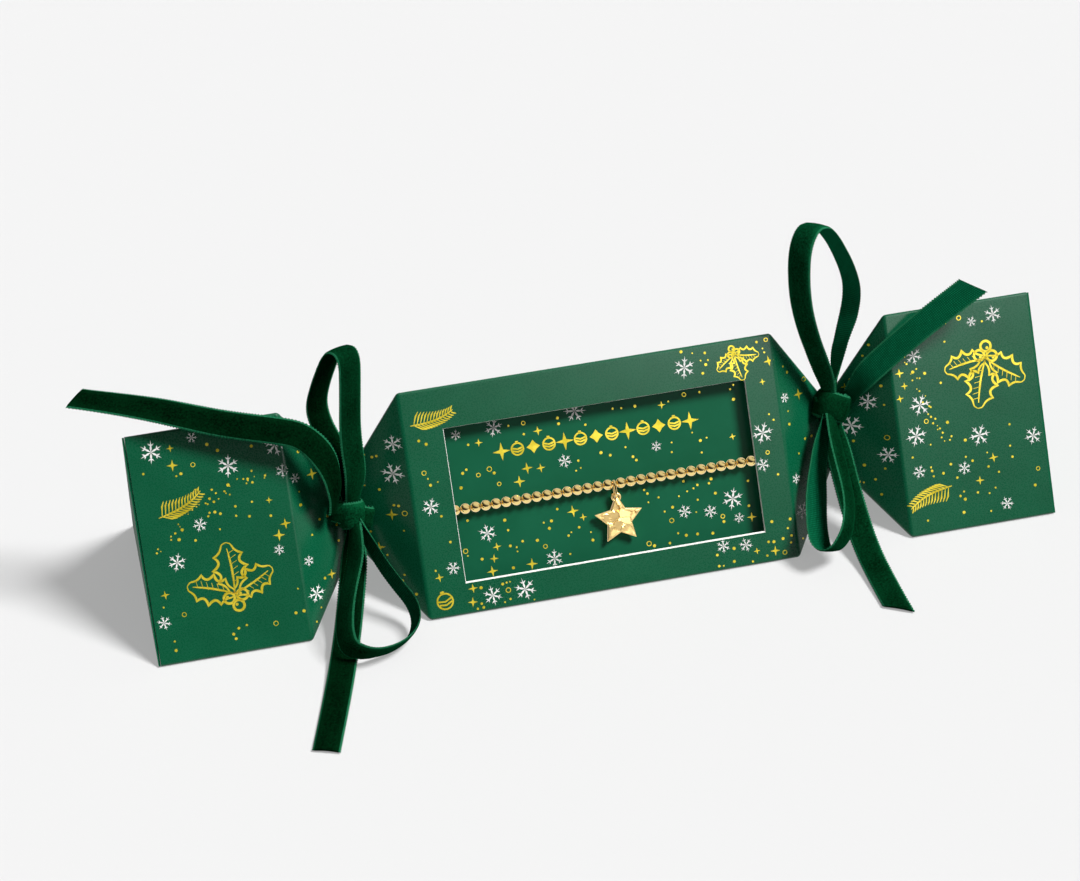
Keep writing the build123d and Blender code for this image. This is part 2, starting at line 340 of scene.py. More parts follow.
def section(x, radius, corner, scale, lip):
    """One ring of the tube; the front wall carries two more points, at the window's edges."""
    points = []
    for direction in (90, 210, 330):
        for i in range(CORNER_POINTS):
            angle = math.radians(direction - 60 + 120 * i / (CORNER_POINTS - 1))
            middle = 2 * (radius - corner)
            y = middle * math.cos(math.radians(direction)) + corner * math.cos(angle)
            z = middle * math.sin(math.radians(direction)) + corner * math.sin(angle)
            points.append(Vector((x, y, AXIS + z)))
        if direction == 90:
            for v in (WINDOW[3] - lip * LIP_TOP, WINDOW[2] + lip * LIP_FOOT):
                points.append(Vector((x, 0, AXIS)) + FRONT_N * radius + FRONT_U * (v - SIDE / 2) * scale)
    return points


def carton_skin():
    """The whole tube as one thin-walled mesh: printed outside, plain inside, bare core at its edges."""
    stations = sorted(set((round(x, 4), round(r, 4)) for x, r in profile))
    outer = [section(x, r, RIDGE_RADIUS, r / AXIS, 0) for x, r in stations]
    inner = []
    for x, r in stations:
        inset = LIP_SIDE * ((abs(x - WINDOW[0]) < 0.01) - (abs(x - WINDOW[1]) < 0.01))
        inner.append(section(x + inset, r - BOARD, RIDGE_RADIUS - BOARD, r / AXIS, 1))
    count = len(outer[0])
    rings = len(stations)
    verts = [p for hoop in outer + inner for p in hoop]
    deep = rings * count
    faces, indices = [], []

    def hole(station, point):
        x0, x1 = stations[station][0], stations[station + 1][0]
        return point == WINDOW_HEAD and x0 >= WINDOW[0] - 0.01 and x1 <= WINDOW[1] + 0.01

    for i in range(rings - 1):
        for j in range(count):
            if hole(i, j):
                continue
            k = (j + 1) % count
            a, b, c, d = i * count + j, i * count + k, (i + 1) * count + k, (i + 1) * count + j
            faces += [(a, b, c, d), (deep + d, deep + c, deep + b, deep + a)]
            indices += [0, 2]
    for i in (0, rings - 1):
        for j in range(count):
            a, b = i * count + j, i * count + (j + 1) % count
            faces.append((a, b, deep + b, deep + a))
            indices.append(1)
    cut = [i for i in range(rings - 1) if hole(i, WINDOW_HEAD)]
    first, last = cut[0], cut[-1] + 1
    rim = [(i, WINDOW_HEAD) for i in range(first, last + 1)]
    rim += [(i, WINDOW_SILL) for i in range(last, first - 1, -1)] + [(first, WINDOW_HEAD)]
    for (i, j), (m, n) in zip(rim, rim[1:]):
        a, b = i * count + j, m * count + n
        faces.append((a, b, deep + b, deep + a))
        indices.append(1)
    skin = add_object("carton_skin", verts, faces, [CARD, CORE, INSIDE], indices)
    sharpen(skin, 50)
    weighted(skin)
    return skin


skin = carton_skin()
walls = [n for n in nodes if n.endswith("_panel") or "_taper_" in n]
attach(skin, "carton")
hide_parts(*walls)


# Pieces carried over from the part as they are, with a small bevel on the board's edges

def dress(node, mat, bevel=0.0, lining=None):
    """Gives a piece its material, and its lining to the faces that look into the carton."""
    obj = nodes[node]
    obj.data.materials.clear()
    obj.data.materials.append(mat)
    if lining:
        obj.data.materials.append(lining)
        for face in obj.data.polygons:
            inwards = Vector((0, 0, AXIS * MM)) - obj.matrix_world @ face.center
            inwards.x *= 0.3
            outlook = obj.matrix_world.to_3x3() @ face.normal
            face.material_index = int(outlook.normalized().dot(inwards.normalized()) > 0.5)
    if bevel:
        mod = obj.modifiers.new("soft_edge", "BEVEL")
        mod.width = bevel * MM
        mod.segments = 2
        mod.limit_method = "ANGLE"
    return obj


FLAP_BEVEL, CARD_BEVEL = 0.12, 0.1
for hand in ("left", "right"):
    for closure in ("end_flap", "end_tuck_tabs"):
        dress(f"{hand}_{closure}", MATT_CARD, FLAP_BEVEL, INSIDE)
    dress(f"{hand}_end_glue_flap", INSIDE)
dress("middle_glue_flap", INSIDE)
dress("insert_card", INSERT, CARD_BEVEL)
dress("insert_base_return", INSERT)
dress("insert_back_return", INSERT)
dress("elastic_cord", ELASTIC)
dress("jump_ring", GOLD)


# Ribbons

RIBBON_HALF = 4.0
RIBBON_THICK = 0.8
PICOT_PITCH = 0.85
PICOT_REACH = 0.3
PICOT_ROWS = 5
# How much a stretch narrows at its knot, and how far from it
GATHER_DEPTH = 0.36
GATHER_REACH = 6.5
# A band bows a little across its width, and cups where it narrows
BAND_BOW, BAND_CUP = 0.35, 2.2
BACK_SHARE = 0.55
SLANT_REACH = 10.0
TABLE_GAP, PILE_GAP = 0.05, 0.2
WRAP_THICK, KNOT_GAP, KNOT_DEPTH = 3.2, 0.2, 5.6
KNOT_STAND = WAIST_IN + WRAP_THICK + KNOT_GAP + KNOT_DEPTH / 2
RIGHT_KNOT_RISE = 8.5
KNOT_PLEATS, FOLD_PLEATS = 0.16, 0.3
KNOTS = {
    "left": Vector((-WAIST, 0, AXIS)) + FRONT_N * KNOT_STAND,
    "right": Vector((WAIST, 0, AXIS)) + FRONT_N * KNOT_STAND + FRONT_U * RIGHT_KNOT_RISE,
}

# Width direction, first axis, shift and route of each free stretch, as in the part
ROUTES = {
    "left_upper_loop": ((-0.85, -0.5, 0.15), (1, 0, 0), 0, [
        (0.8, 3), (3.2, 8.5), (4.5, 14.5), (4.1, 21.6), (4.6, 28.4), (6, 35.4), (7.3, 42.2),
        (8.4, 48.6), (6.6, 52), (1.6, 51.2), (-3.8, 44.1), (-9.2, 35.4), (-10.6, 30.6), (-9, 25.6),
        (-5.4, 21.2), (-2.6, 16.5), (-1.2, 10), (-0.8, 3)]),
    "left_lower_loop": ((0.31, -0.5, 0.81), (0.943, 0.272, -0.193), 1.4, [
        (-0.8, -3), (-2.8, -9.9), (-4.8, -15.1), (-9.2, -22.4), (-12.4, -28.7), (-14.8, -35.3),
        (-14.7, -39.9), (-10.8, -42.3), (-6.2, -42.9), (-0.3, -42.3), (5.4, -39.7), (8.6, -35.3),
        (8.8, -30), (6, -23.8), (3.5, -17), (1.9, -10.3), (0.8, -3)]),
    "left_upper_tail": ((0.207, 0.971, -0.124), (-1, 0, 0), -5.4, [
        (4.7, 4.4), (3.7, 8.2), (3.2, 12.4), (4.1, 19), (6, 23.8), (8.9, 27.9), (12.4, 30.7), (17.9, 32.2),
        (32.3, 35.2), (42.2, 38.3), (51, 41.2), (64.1, 44.5), (73.7, 46.6)]),
    "left_lower_tail": ((0.956, -0.293, 0), (-0.293, -0.956, 0), 0.6, [
        (0.6, 3.8), (4.6, 9), (11.6, 14.6), (20.6, 19.2), (30, 22.6), (45, 24.8), (60, 24.95),
        (73.7, 24.85)]),
    "right_upper_loop": ((0.6, -0.75, 0.18), (1, 0, 0), 0, [
        (-0.8, 3), (-2.6, 10), (-5.6, 17.5), (-9.6, 27.2), (-12.1, 37.1), (-12.2, 46.5), (-10.6, 53.9),
        (-6.3, 58.4), (-1, 57.6), (4, 52.7), (9.3, 44.6), (13.1, 35.8), (13.2, 30.3), (11, 24.8),
        (7.6, 20), (4.6, 15), (2.6, 9.5), (0.8, 3)]),
    "right_lower_loop": ((-0.56, -0.42, 0.71), (0.8, -0.51, 0.33), 2, [
        (-0.8, -3), (-2, -10.5), (-3.4, -19), (-3.8, -28), (-3.6, -37), (-2, -43.8), (2.6, -44.6),
        (6.2, -40.1), (7.2, -33.9), (6.8, -28.2), (5.2, -22), (3.6, -16), (2, -9.5), (0.8, -3)]),
    "right_upper_tail": ((-0.3, 0.9, 0.3), (1, 0, 0), -1.5, [
        (5.2, -2.6), (7.9, -9.4), (15.8, -15.8), (25.8, -22.5), (34.6, -27.3), (44.4, -32.2)]),
    "right_lower_tail": ((0.998, 0.056, 0), (0.056, -0.998, 0), 0.2, [
        (0.2, 4.2), (3.6, 9.6), (11, 16.8), (20, 24), (30.4, 30), (45, 32.1), (58, 32.2)]),
}
# Materials of a band's two faces at each painted light level: one level is the darker velvet as painted
# shade, one the lighter velvet and weave as painted light, and one puts the painted-shade velvet on a loop's
# inner face
PAINTED_LIGHT_LEVELS = {
    "deep": (VELVET_PAINTED_SHADE, WOVEN), "plain": (VELVET, WOVEN),
    "painted_light": (VELVET_PAINTED_LIGHT, WOVEN_PAINTED_LIGHT), "double": (VELVET, VELVET_PAINTED_SHADE),
}
# Which side the pile is on, its painted light level, twist in degrees at shares of the length, and the slant
# of a cut end
LOOKS = {
    "left_upper_loop": (1, "double", [(0, 0), (1, 0)], 0),
    "left_lower_loop": (1, "plain", [(0, -20), (0.36, -20), (0.5, 0), (1, -3)], 0),
    "left_upper_tail": (-1, "deep", [(0, -14), (0.1, -30), (0.25, -56), (0.45, -52), (1, -18)], -1.9),
    "left_lower_tail": (1, "deep", [(0, 0), (1, 0)], 0.3),
    "right_upper_loop": (-1, "painted_light", [(0, 0), (0.5, 0), (0.62, 8), (0.8, 14), (0.88, 24), (1, 50)], 0),
    "right_lower_loop": (1, "plain", [(0, 6), (0.15, 12), (0.3, 26), (0.42, 26), (0.56, 0), (1, -5)], 0),
    "right_upper_tail": (-1, "plain", [(0, 10), (1, 20)], -2.1),
    "right_lower_tail": (1, "plain", [(0, 0), (1, 0)], 2.6),
}


def spline_points(points):
    """Points along the NURBS line whose control points are given, in order, close together."""
    curve = bpy.data.curves.new("route", "CURVE")
    curve.dimensions = "3D"
    curve.resolution_u = 40
    spline = curve.splines.new("NURBS")
    spline.points.add(len(points) - 1)
    for point, place in zip(spline.points, points):
        point.co = (*place, 1)
    spline.order_u = 3
    spline.use_endpoint_u = True
    holder = bpy.data.objects.new("route", curve)
    bpy.context.scene.collection.objects.link(holder)
    mesh = bpy.data.meshes.new_from_object(holder.evaluated_get(bpy.context.evaluated_depsgraph_get()))
    line = [v.co.copy() for v in mesh.vertices]
    bpy.data.objects.remove(holder)
    bpy.data.curves.remove(curve)
    bpy.data.meshes.remove(mesh)
    return line


def even(line, step):
    """The line's points taken again at even steps, with the whole length."""
    lengths = [0.0]
    for a, b in zip(line, line[1:]):
        lengths.append(lengths[-1] + (b - a).length)
    total = lengths[-1]
    count = max(2, round(total / step))
    out, k = [], 0
    for i in range(count + 1):
        want = total * i / count
        while k < len(line) - 2 and lengths[k + 1] < want:
            k += 1
        share = (want - lengths[k]) / max(lengths[k + 1] - lengths[k], 1e-9)
        out.append(line[k].lerp(line[k + 1], min(max(share, 0), 1)))
    return out, total


def keyed(keys, t):
    """Smooth value at t from a list of (share, value)."""
    for (t0, v0), (t1, v1) in zip(keys, keys[1:]):
        if t <= t1:
            x = (t - t0) / max(t1 - t0, 1e-9)
            return v0 + (v1 - v0) * x * x * (3 - 2 * x)
    return keys[-1][1]


def ribbon_mesh(name, line, acrosses, pile_side, painted_level, slant=0.0, widths=None, closed=False, crown=None):
    """A velvet band along a line: pile on one face, weave on the other, picot loops on both edges.

    widths narrows the band row by row, and a narrowed row cups. crown(share, across) lifts its face.
    """
    rows = len(line)
    shares = [-1.0, -0.87, -0.78, -0.52, -0.26, 0.0, 0.26, 0.52, 0.78, 0.87, 1.0]
    widths = widths or [1.0] * rows
    cols = len(shares)
    verts, uvs = [], []
    step = (line[1] - line[0]).length
    for side in (1, -1):
        for i in range(rows):
            if closed:
                tangent = line[(i + 1) % rows] - line[i - 1]
            else:
                tangent = line[min(i + 1, rows - 1)] - line[max(i - 1, 0)]
            tangent.normalize()
            across = acrosses[i] - tangent * acrosses[i].dot(tangent)
            across.normalize()
            normal = tangent.cross(across) * pile_side
            wave = 0.5 + 0.5 * math.cos(2 * math.pi * i * step / PICOT_PITCH)
            tail = max(0.0, 1 - (rows - 1 - i) * step / SLANT_REACH) if slant else 0.0
            for w in shares:
                half = RIBBON_HALF * widths[i] + (PICOT_REACH * (wave - 0.5) if abs(w) == 1 else 0.0)
                thick = 0.5 * RIBBON_THICK * (1.0 if abs(w) < 0.8 else 0.6 if abs(w) < 1 else 0.18)
                arch = BAND_BOW + BAND_CUP * (1 - widths[i])
                lift = crown(i / rows, w) if crown else arch * (0.5 - w * w)
                flatness = 1.0 if side == 1 else BACK_SHARE
                spot = line[i] + across * (w * half) + tangent * (tail * slant * w)
                spot += normal * (lift + side * thick * flatness)
                spot.z = max(spot.z, TABLE_GAP + PILE_GAP * (side == 1))
                verts.append(spot)
                uvs.append((i * step, w * RIBBON_HALF))
    faces, indices = [], []
    deep = rows * cols
    last = rows if closed else rows - 1
    for i in range(last):
        m = (i + 1) % rows
        for j in range(cols - 1):
            a, b, c, d = i * cols + j, i * cols + j + 1, m * cols + j + 1, m * cols + j
            edge = 2 if j < 1 or j >= cols - 2 else None
            faces += [(a, b, c, d), (deep + d, deep + c, deep + b, deep + a)]
            indices += [edge or 0, edge or 1]
        for j in (0, cols - 1):
            a, d = i * cols + j, m * cols + j
            faces.append((a, d, deep + d, deep + a))
            indices.append(2)
    if not closed:
        for i in (0, rows - 1):
            for j in range(cols - 1):
                a, b = i * cols + j, i * cols + j + 1
                faces.append((a, b, deep + b, deep + a))
                indices.append(0)
    # The band's faces take the painted light level's darker or lighter copies
    obj = add_object(name, verts, faces, [*PAINTED_LIGHT_LEVELS[painted_level], PICOT], indices)
    layer = obj.data.uv_layers.new(name="ribbon")
    for loop in obj.data.loops:
        layer.data[loop.index].uv = uvs[loop.vertex_index]
    sharpen(obj, 75)
    return obj


def route_space(name):
    """A route's points in space, in millimetres, and the ribbon's width direction there."""
    across, along, shift, points = ROUTES[name]
    normal = Vector(across).normalized()
    first = Vector(along) - normal * normal.dot(Vector(along))
    first.normalize()
    second = normal.cross(first)
    origin = KNOTS[name.split("_")[0]] + normal * shift
    return [origin + first * a + second * b for a, b in points], normal


for name, (pile_side, painted_level, twist, slant) in LOOKS.items():
    points, normal = route_space(name)
    line, total = even(spline_points(points), PICOT_PITCH / PICOT_ROWS)
    acrosses = []
    for i, point in enumerate(line):
        tangent = (line[min(i + 1, len(line) - 1)] - line[max(i - 1, 0)]).normalized()
        turn = Matrix.Rotation(math.radians(keyed(twist, i / (len(line) - 1))), 3, tangent)
        acrosses.append(turn @ normal)
    step = total / (len(line) - 1)
    from_knot = [min(i, len(line) - 1 - i) if "loop" in name else i for i in range(len(line))]
    widths = [1 - GATHER_DEPTH * math.exp(-(step * i / GATHER_REACH) ** 2) for i in from_knot]
    band = ribbon_mesh(name + "_velvet", line, acrosses, pile_side, painted_level, slant, widths)
    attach(band, "carton")
    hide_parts(name)


def knot_band(name, hand, tilt, size, painted_level, seed, pleats):
    """The ribbon's turn round the bow's middle: a closed, squarish band with soft slanting pleats."""
    centre = KNOTS[hand]
    wide, deep, stretch = size
    spin = Matrix.Rotation(math.radians(tilt), 3, FRONT_N)
    side, up = spin @ Vector((1, 0, 0)), spin @ FRONT_U
    count, squareness = 160, 2.7
    line = []
    for i in range(count):
        angle = -2 * math.pi * i / count
        c, s = math.cos(angle), math.sin(angle)
        reach = (abs(c) ** squareness + abs(s) ** squareness) ** (-1 / squareness)
        line.append(centre + side * (wide * c * reach) + FRONT_N * (deep * s * reach))

    def crown(share, w):
        pleat = math.sin(4.6 * w + 2.2 * math.sin(2 * math.pi * share + seed) + seed) * (1 - w * w)
        return 0.7 * (1 - abs(w) ** 3) - 0.25 + pleats * pleat

    return ribbon_mesh(name, line, [up] * count, 1, painted_level, widths=[stretch] * count, closed=True, crown=crown)


# Tilt, half length, half depth and share of the ribbon's width, for each knot and for the fold behind it
# The left knot's lighter velvet is painted light; the folds behind keep the plain velvet
for hand, tilt, size, fold_tilt, fold_size, painted_level, seed in (
    ("left", -2, (3.4, 4.0, 0.98), -22, (5.6, 3.1, 0.84), "painted_light", 0.6),
    ("right", -26, (4.5, 4.0, 1.05), -4, (4.7, 2.9, 0.8), "plain", 2.1),
):
    knot = knot_band(f"{hand}_knot_velvet", hand, tilt, size, painted_level, seed, KNOT_PLEATS)
    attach(knot, "carton")
    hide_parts(f"{hand}_knot")
    fold = knot_band(f"{hand}_knot_fold", hand, fold_tilt, fold_size, "plain", seed + 1.4, FOLD_PLEATS)
    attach(fold, "carton")


def waist_wrap(hand, sign):
    """Gathered ribbon round the waist: a triangular ring with creases along it."""
    rows, cols = 180, 13
    wall_middles, rounding = (30, 150, 270), math.radians(48)
    stand, bow, half_width = 2.9, 1.6, 3.1
    verts, faces = [], []
    rng = random.Random(11 if sign > 0 else 5)
    phases = [rng.uniform(0, 6.28) for _ in range(3)]
    for i in range(rows):
        angle = 2 * math.pi * i / rows
        turns = [(angle - math.radians(d) + math.pi) % (2 * math.pi) - math.pi for d in wall_middles]
        nearest = min(abs(turn) for turn in turns)
        reach = 1 / math.cos(min(nearest, rounding))
        for j in range(cols):
            w = -1 + 2 * j / (cols - 1)
            crease = 0.22 * math.sin(9 * w + phases[0] + 1.2 * math.sin(2 * angle + phases[1]))
            radius = (WAIST_IN + stand - bow * w * w + crease) * reach
            x = sign * WAIST + w * half_width + 0.25 * math.sin(3 * angle + phases[2])
            verts.append(Vector((x, radius * math.cos(angle), AXIS + radius * math.sin(angle))))
    for i in range(rows):
        m = (i + 1) % rows
        for j in range(cols - 1):
            faces.append((i * cols + j, i * cols + j + 1, m * cols + j + 1, m * cols + j))
    return add_object(f"{hand}_wrap_velvet", verts, faces, [VELVET])


for hand, sign in (("left", -1), ("right", 1)):
    wrap = waist_wrap(hand, sign)
    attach(wrap, "carton")
    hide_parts(f"{hand}_waist_wrap")


# Bracelet

BEAD = 1.5
BEAD_PITCH = 3.03
BACK_BEADS = 26
CARD_GAP = 0.25
ELASTIC_V = 30.9
CHARM_X = 3.9
ROW_DEPTH = INSERT_DEPTH - CARD_GAP - BEAD
RING_WIRE, RING_GAP = 0.7, 0.1
CARD_LENGTH, NOTCH_GAP = 106, 0.6
ELASTIC_WIRE, ELASTIC_TURN = 0.7, 2.05


def on_front(x, v, depth):
    """A point depth behind the front wall's outer face, v up the face from its foot."""
    return Vector((x, -SIDE / 2, 0)) + FRONT_U * v - FRONT_N * depth


def bead_row(name, places, depth, across, around):
    """Round beads along the elastic, each with across by around facets."""
    verts, faces = [], []
    for x in places:
        centre = on_front(x, ELASTIC_V, depth)
        start = len(verts)
        for i in range(1, across):
            a = math.pi * i / across
            for j in range(around):
                b = 2 * math.pi * j / around
                spot = Vector((1, 0, 0)) * math.cos(a)
                spot += (FRONT_U * math.cos(b) + FRONT_N * math.sin(b)) * math.sin(a)
                verts.append(centre + spot * BEAD)
        for i in range(across - 2):
            for j in range(around):
                a, b = start + i * around + j, start + i * around + (j + 1) % around
                faces.append((a, b, b + around, a + around))
        faces.append(tuple(start + j for j in reversed(range(around))))
        faces.append(tuple(start + (across - 2) * around + j for j in range(around)))
    return add_object(name, verts, faces, [GOLD])


first_bead = BEAD + RING_WIRE / 2 + RING_GAP
limit = CARD_LENGTH / 2 - NOTCH_GAP - ELASTIC_WIRE / 2 - ELASTIC_TURN - BEAD
left_count = int((CHARM_X + limit - first_bead) / BEAD_PITCH) + 1
right_count = int((limit - CHARM_X - first_bead) / BEAD_PITCH) + 1
front_places = [CHARM_X - first_bead - i * BEAD_PITCH for i in range(left_count)]
front_places += [CHARM_X + first_bead + i * BEAD_PITCH for i in range(right_count)]
back_places = [i * 2 * limit / (BACK_BEADS - 1) - limit for i in range(BACK_BEADS)]
for name, places, depth, detail in (
    ("front_beads", front_places, ROW_DEPTH, (22, 32)),
    ("back_beads", back_places, INSERT_DEPTH + BOARD + CARD_GAP + BEAD, (12, 18)),
):
    row = bead_row(name + "_gold", places, depth, *detail)
    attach(row, "carton")
    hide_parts(name)


STAR_DROP, STAR_TIP, STAR_NOTCH, STAR_THICK = 6.65, 7.35, 3.75, 1.4
# The star's face in steps out from its middle, then its rim as shares of the outline and of the depth
FACE_SHARES = (0.08, 0.16, 0.24, 0.32, 0.4, 0.48, 0.56, 0.64, 0.7, 0.76, 0.82)
RIM_LAYERS = ((0.90, 1.0), (1.0, 0.62), (1.0, -0.62), (0.93, -1.0))
BLOWS, BLOW_FIELD, BLOW_LEAN = 38, 7, 0.075
EYELET_FALL = 3.95
EYELET_RADIUS, EYELET_HALF_WIRE, EYELET_HALF_DEPTH = 1.12, 0.34, 0.55


def add_eyelet(bm):
    """A flattened ring round the origin, where the jump ring passes."""
    around, tube = 40, 12
    loops = []
    for i in range(around):
        a = 2 * math.pi * i / around
        loop = []
        for j in range(tube):
            b = 2 * math.pi * j / tube
            reach = EYELET_RADIUS + EYELET_HALF_WIRE * math.cos(b)
            spot = (reach * math.cos(a), reach * math.sin(a), EYELET_HALF_DEPTH * math.sin(b))
            loop.append(bm.verts.new(spot))
        loops.append(loop)
    for near, far in zip(loops, loops[1:] + loops[:1]):
        for j in range(tube):
            k = (j + 1) % tube
            bm.faces.new((near[j], far[j], far[k], near[k]))


def star_charm():
    """A cast star with a hammered face, softened points and an eyelet on its top point."""
    bm = bmesh.new()
    outline = []
    for i in range(10):
        reach = STAR_NOTCH if i % 2 else STAR_TIP
        angle = math.pi / 2 + i * math.pi / 5
        outline.append(Vector((reach * math.cos(angle), reach * math.sin(angle) - STAR_DROP, 0)))
    edge = []
    for a, b in zip(outline, outline[1:] + outline[:1]):
        edge += [a.lerp(b, k / 20) for k in range(20)]
    rng = random.Random(3)
    blows = []
    for _ in range(BLOWS):
        spot = rng.uniform(-BLOW_FIELD, BLOW_FIELD), rng.uniform(-BLOW_FIELD, BLOW_FIELD)
        blows.append((*spot, rng.gauss(0, BLOW_LEAN), rng.gauss(0, BLOW_LEAN)))

    def height(x, y):
        """Each hammer blow leaves a small tilted flat over the spots nearest to it."""
        bx, by, lean_x, lean_y = min(blows, key=lambda b: math.hypot(x - b[0], y + STAR_DROP - b[1]))
        return lean_x * (x - bx) + lean_y * (y + STAR_DROP - by)

    rows = []
    centre = Vector((0, -STAR_DROP, 0))
    for share, level in [(share, 1.0) for share in FACE_SHARES] + list(RIM_LAYERS):
        rise = Vector((0, 0, level * STAR_THICK / 2))
        rows.append([bm.verts.new(centre.lerp(p, share) + rise) for p in edge])
    for inner, outer in zip(rows, rows[1:]):
        for i in range(len(edge)):
            k = (i + 1) % len(edge)
            bm.faces.new((inner[i], outer[i], outer[k], inner[k]))
    bm.faces.new(rows[0])
    bm.faces.new(list(reversed(rows[-1])))
    hammered = rows[:len(FACE_SHARES) + 1]
    for line in hammered:
        for v in line:
            v.co.z += height(v.co.x, v.co.y) * (0.6 if line is hammered[-1] else 1.0)
    add_eyelet(bm)
    mesh = bpy.data.meshes.new("star_charm_gold")
    bmesh.ops.recalc_face_normals(bm, faces=bm.faces)
    to_face = Matrix.Identity(3)
    to_face.col[0], to_face.col[1], to_face.col[2] = Vector((1, 0, 0)), FRONT_U, FRONT_N
    origin = on_front(CHARM_X, ELASTIC_V - EYELET_FALL, ROW_DEPTH)
    for v in bm.verts:
        v.co = (origin + to_face @ v.co) * MM
    bm.to_mesh(mesh)
    bm.free()
    mesh.materials.append(HAMMERED)
    mesh.polygons.foreach_set("use_smooth", [True] * len(mesh.polygons))
    obj = bpy.data.objects.new("star_charm_gold", mesh)
    bpy.context.scene.collection.objects.link(obj)
    sharpen(obj, 9)
    return obj


star = star_charm()
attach(star, "charm")
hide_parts("star_charm")


# Print: gold foil and white ink laid a hair above the board. Each mark is a list of outlines.

FOIL_LIFT = 0.04
INK_LIFT = 0.05
EDGE_ROOM = 1.2
MARK_ROOM = 0.4


def turned(outlines, angle, place):
    """Outlines turned by angle degrees and moved to place."""
    c, s = math.cos(math.radians(angle)), math.sin(math.radians(angle))
    return [[(place[0] + x * c - y * s, place[1] + x * s + y * c) for x, y in line] for line in outlines]


def dot(radius, sides=10):
    turns = [2 * math.pi * i / sides for i in range(sides)]
    return [[(radius * math.cos(turn), radius * math.sin(turn)) for turn in turns]]


def stroke(points, width, tips=True):
    """A line drawn with a pen that thins at its ends."""
    left, right = [], []
    for i, (x, y) in enumerate(points):
        ax, ay = points[max(i - 1, 0)]
        bx, by = points[min(i + 1, len(points) - 1)]
        run = max(math.hypot(bx - ax, by - ay), 1e-6)
        share = i / (len(points) - 1)
        half = 0.5 * width * (0.35 + 0.65 * math.sin(math.pi * share) ** 0.6 if tips else 1)
        dx, dy = (by - ay) / run * half, (bx - ax) / run * half
        left.append((x - dx, y + dy))
        right.append((x + dx, y - dy))
    return [[left[i], right[i], right[i + 1], left[i + 1]] for i in range(len(points) - 1)]


def ring(radius, width, sides=16):
    circle = dot(radius, sides)[0]
    return stroke(circle + circle[:1], width, tips=False)


def kite(length, waist, half):
    """A slim shape along +Y, widest at its waist and pointed at both ends."""
    return [[(0, 0), (half, waist), (0, length), (-half, waist)]]


def flake(radius):
    """A six-armed snow crystal with one pair of barbs on each arm."""
    marks = []
    for arm in range(6):
        turn = math.radians(60 * arm)
        marks += turned(kite(radius, 0.3 * radius, 0.085 * radius), 60 * arm, (0, 0))
        spot = (-0.52 * radius * math.sin(turn), 0.52 * radius * math.cos(turn))
        for lean in (-52, 52):
            marks += turned(kite(0.32 * radius, 0.12 * radius, 0.06 * radius), 60 * arm + lean, spot)
    return marks


def sparkle(radius, waist=0.2):
    """A four-pointed glint."""
    line = []
    for i in range(8):
        reach = radius if i % 2 == 0 else radius * waist * 1.4
        line.append((reach * math.sin(math.pi * i / 4), reach * math.cos(math.pi * i / 4)))
    return [line]


def holly_leaf(length, pen):
    """The outline of a spined leaf along +Y, its midrib, and hatching on one half."""
    sides = []
    for side in (1, -1):
        line = []
        for i in range(33):
            t = i / 32
            scallop = abs(math.sin(4 * math.pi * t)) ** 0.7
            half = length * (0.34 - 0.13 * scallop) * math.sin(math.pi * t) ** 0.55
            line.append((side * half, t * length))
        sides.append(line)
    marks = stroke(sides[0], pen) + stroke(sides[1], pen)
    marks += stroke([(0.03 * length * math.sin(3 * t / 8), t * length / 9) for t in range(9)], pen * 0.8)
    for i in range(2, 8):
        t = i / 9
        marks += stroke([(0, t * length), (0.15 * length, (t + 0.07) * length)], pen * 0.6)
    return marks


def holly(length, pen):
    """Three leaves and their berries."""
    marks = []
    for lean, size in ((62, 0.92), (-8, 1.0), (-74, 0.86)):
        marks += turned(holly_leaf(length * size, pen), lean, (0, 0))
    for x, y in ((-0.13, -0.05), (0.13, -0.06), (0.0, -0.24)):
        marks += turned(ring(0.105 * length, pen), 0, (x * length, y * length))
        marks += turned(dot(0.03 * length), 0, ((x - 0.03) * length, (y + 0.03) * length))
    return marks


def fir(length, pen):
    """A bent twig with paired needles."""
    marks, spine = [], []
    for i in range(15):
        t = i / 14
        spine.append((0.16 * length * math.sin(2.2 * t), t * length))
    marks += stroke(spine, pen)
    for i, (x, y) in enumerate(spine[1:-1]):
        reach = length * (0.26 - 0.012 * i)
        for lean in (-1, 1):
            bend = (x + lean * reach * 0.62, y + reach * 0.5)
            point = (x + lean * reach * 0.86, y + reach * 0.86)
            marks += stroke([(x, y), bend, point], pen * 0.8)
    return marks


def bauble(radius, pen):
    """A ball with two sagging bands and a cap."""
    marks = ring(radius, pen, 22)
    for half, end, middle in ((0.9, 0.2, -0.05), (0.85, -0.25, -0.5)):
        band = [(-half * radius, end * radius), (0, middle * radius), (half * radius, end * radius)]
        marks += stroke(band, pen, False)
    cap = [(-0.28, 1), (0.28, 1), (0.22, 1.35), (-0.22, 1.35)]
    return marks + [[(x * radius, y * radius) for x, y in cap]]


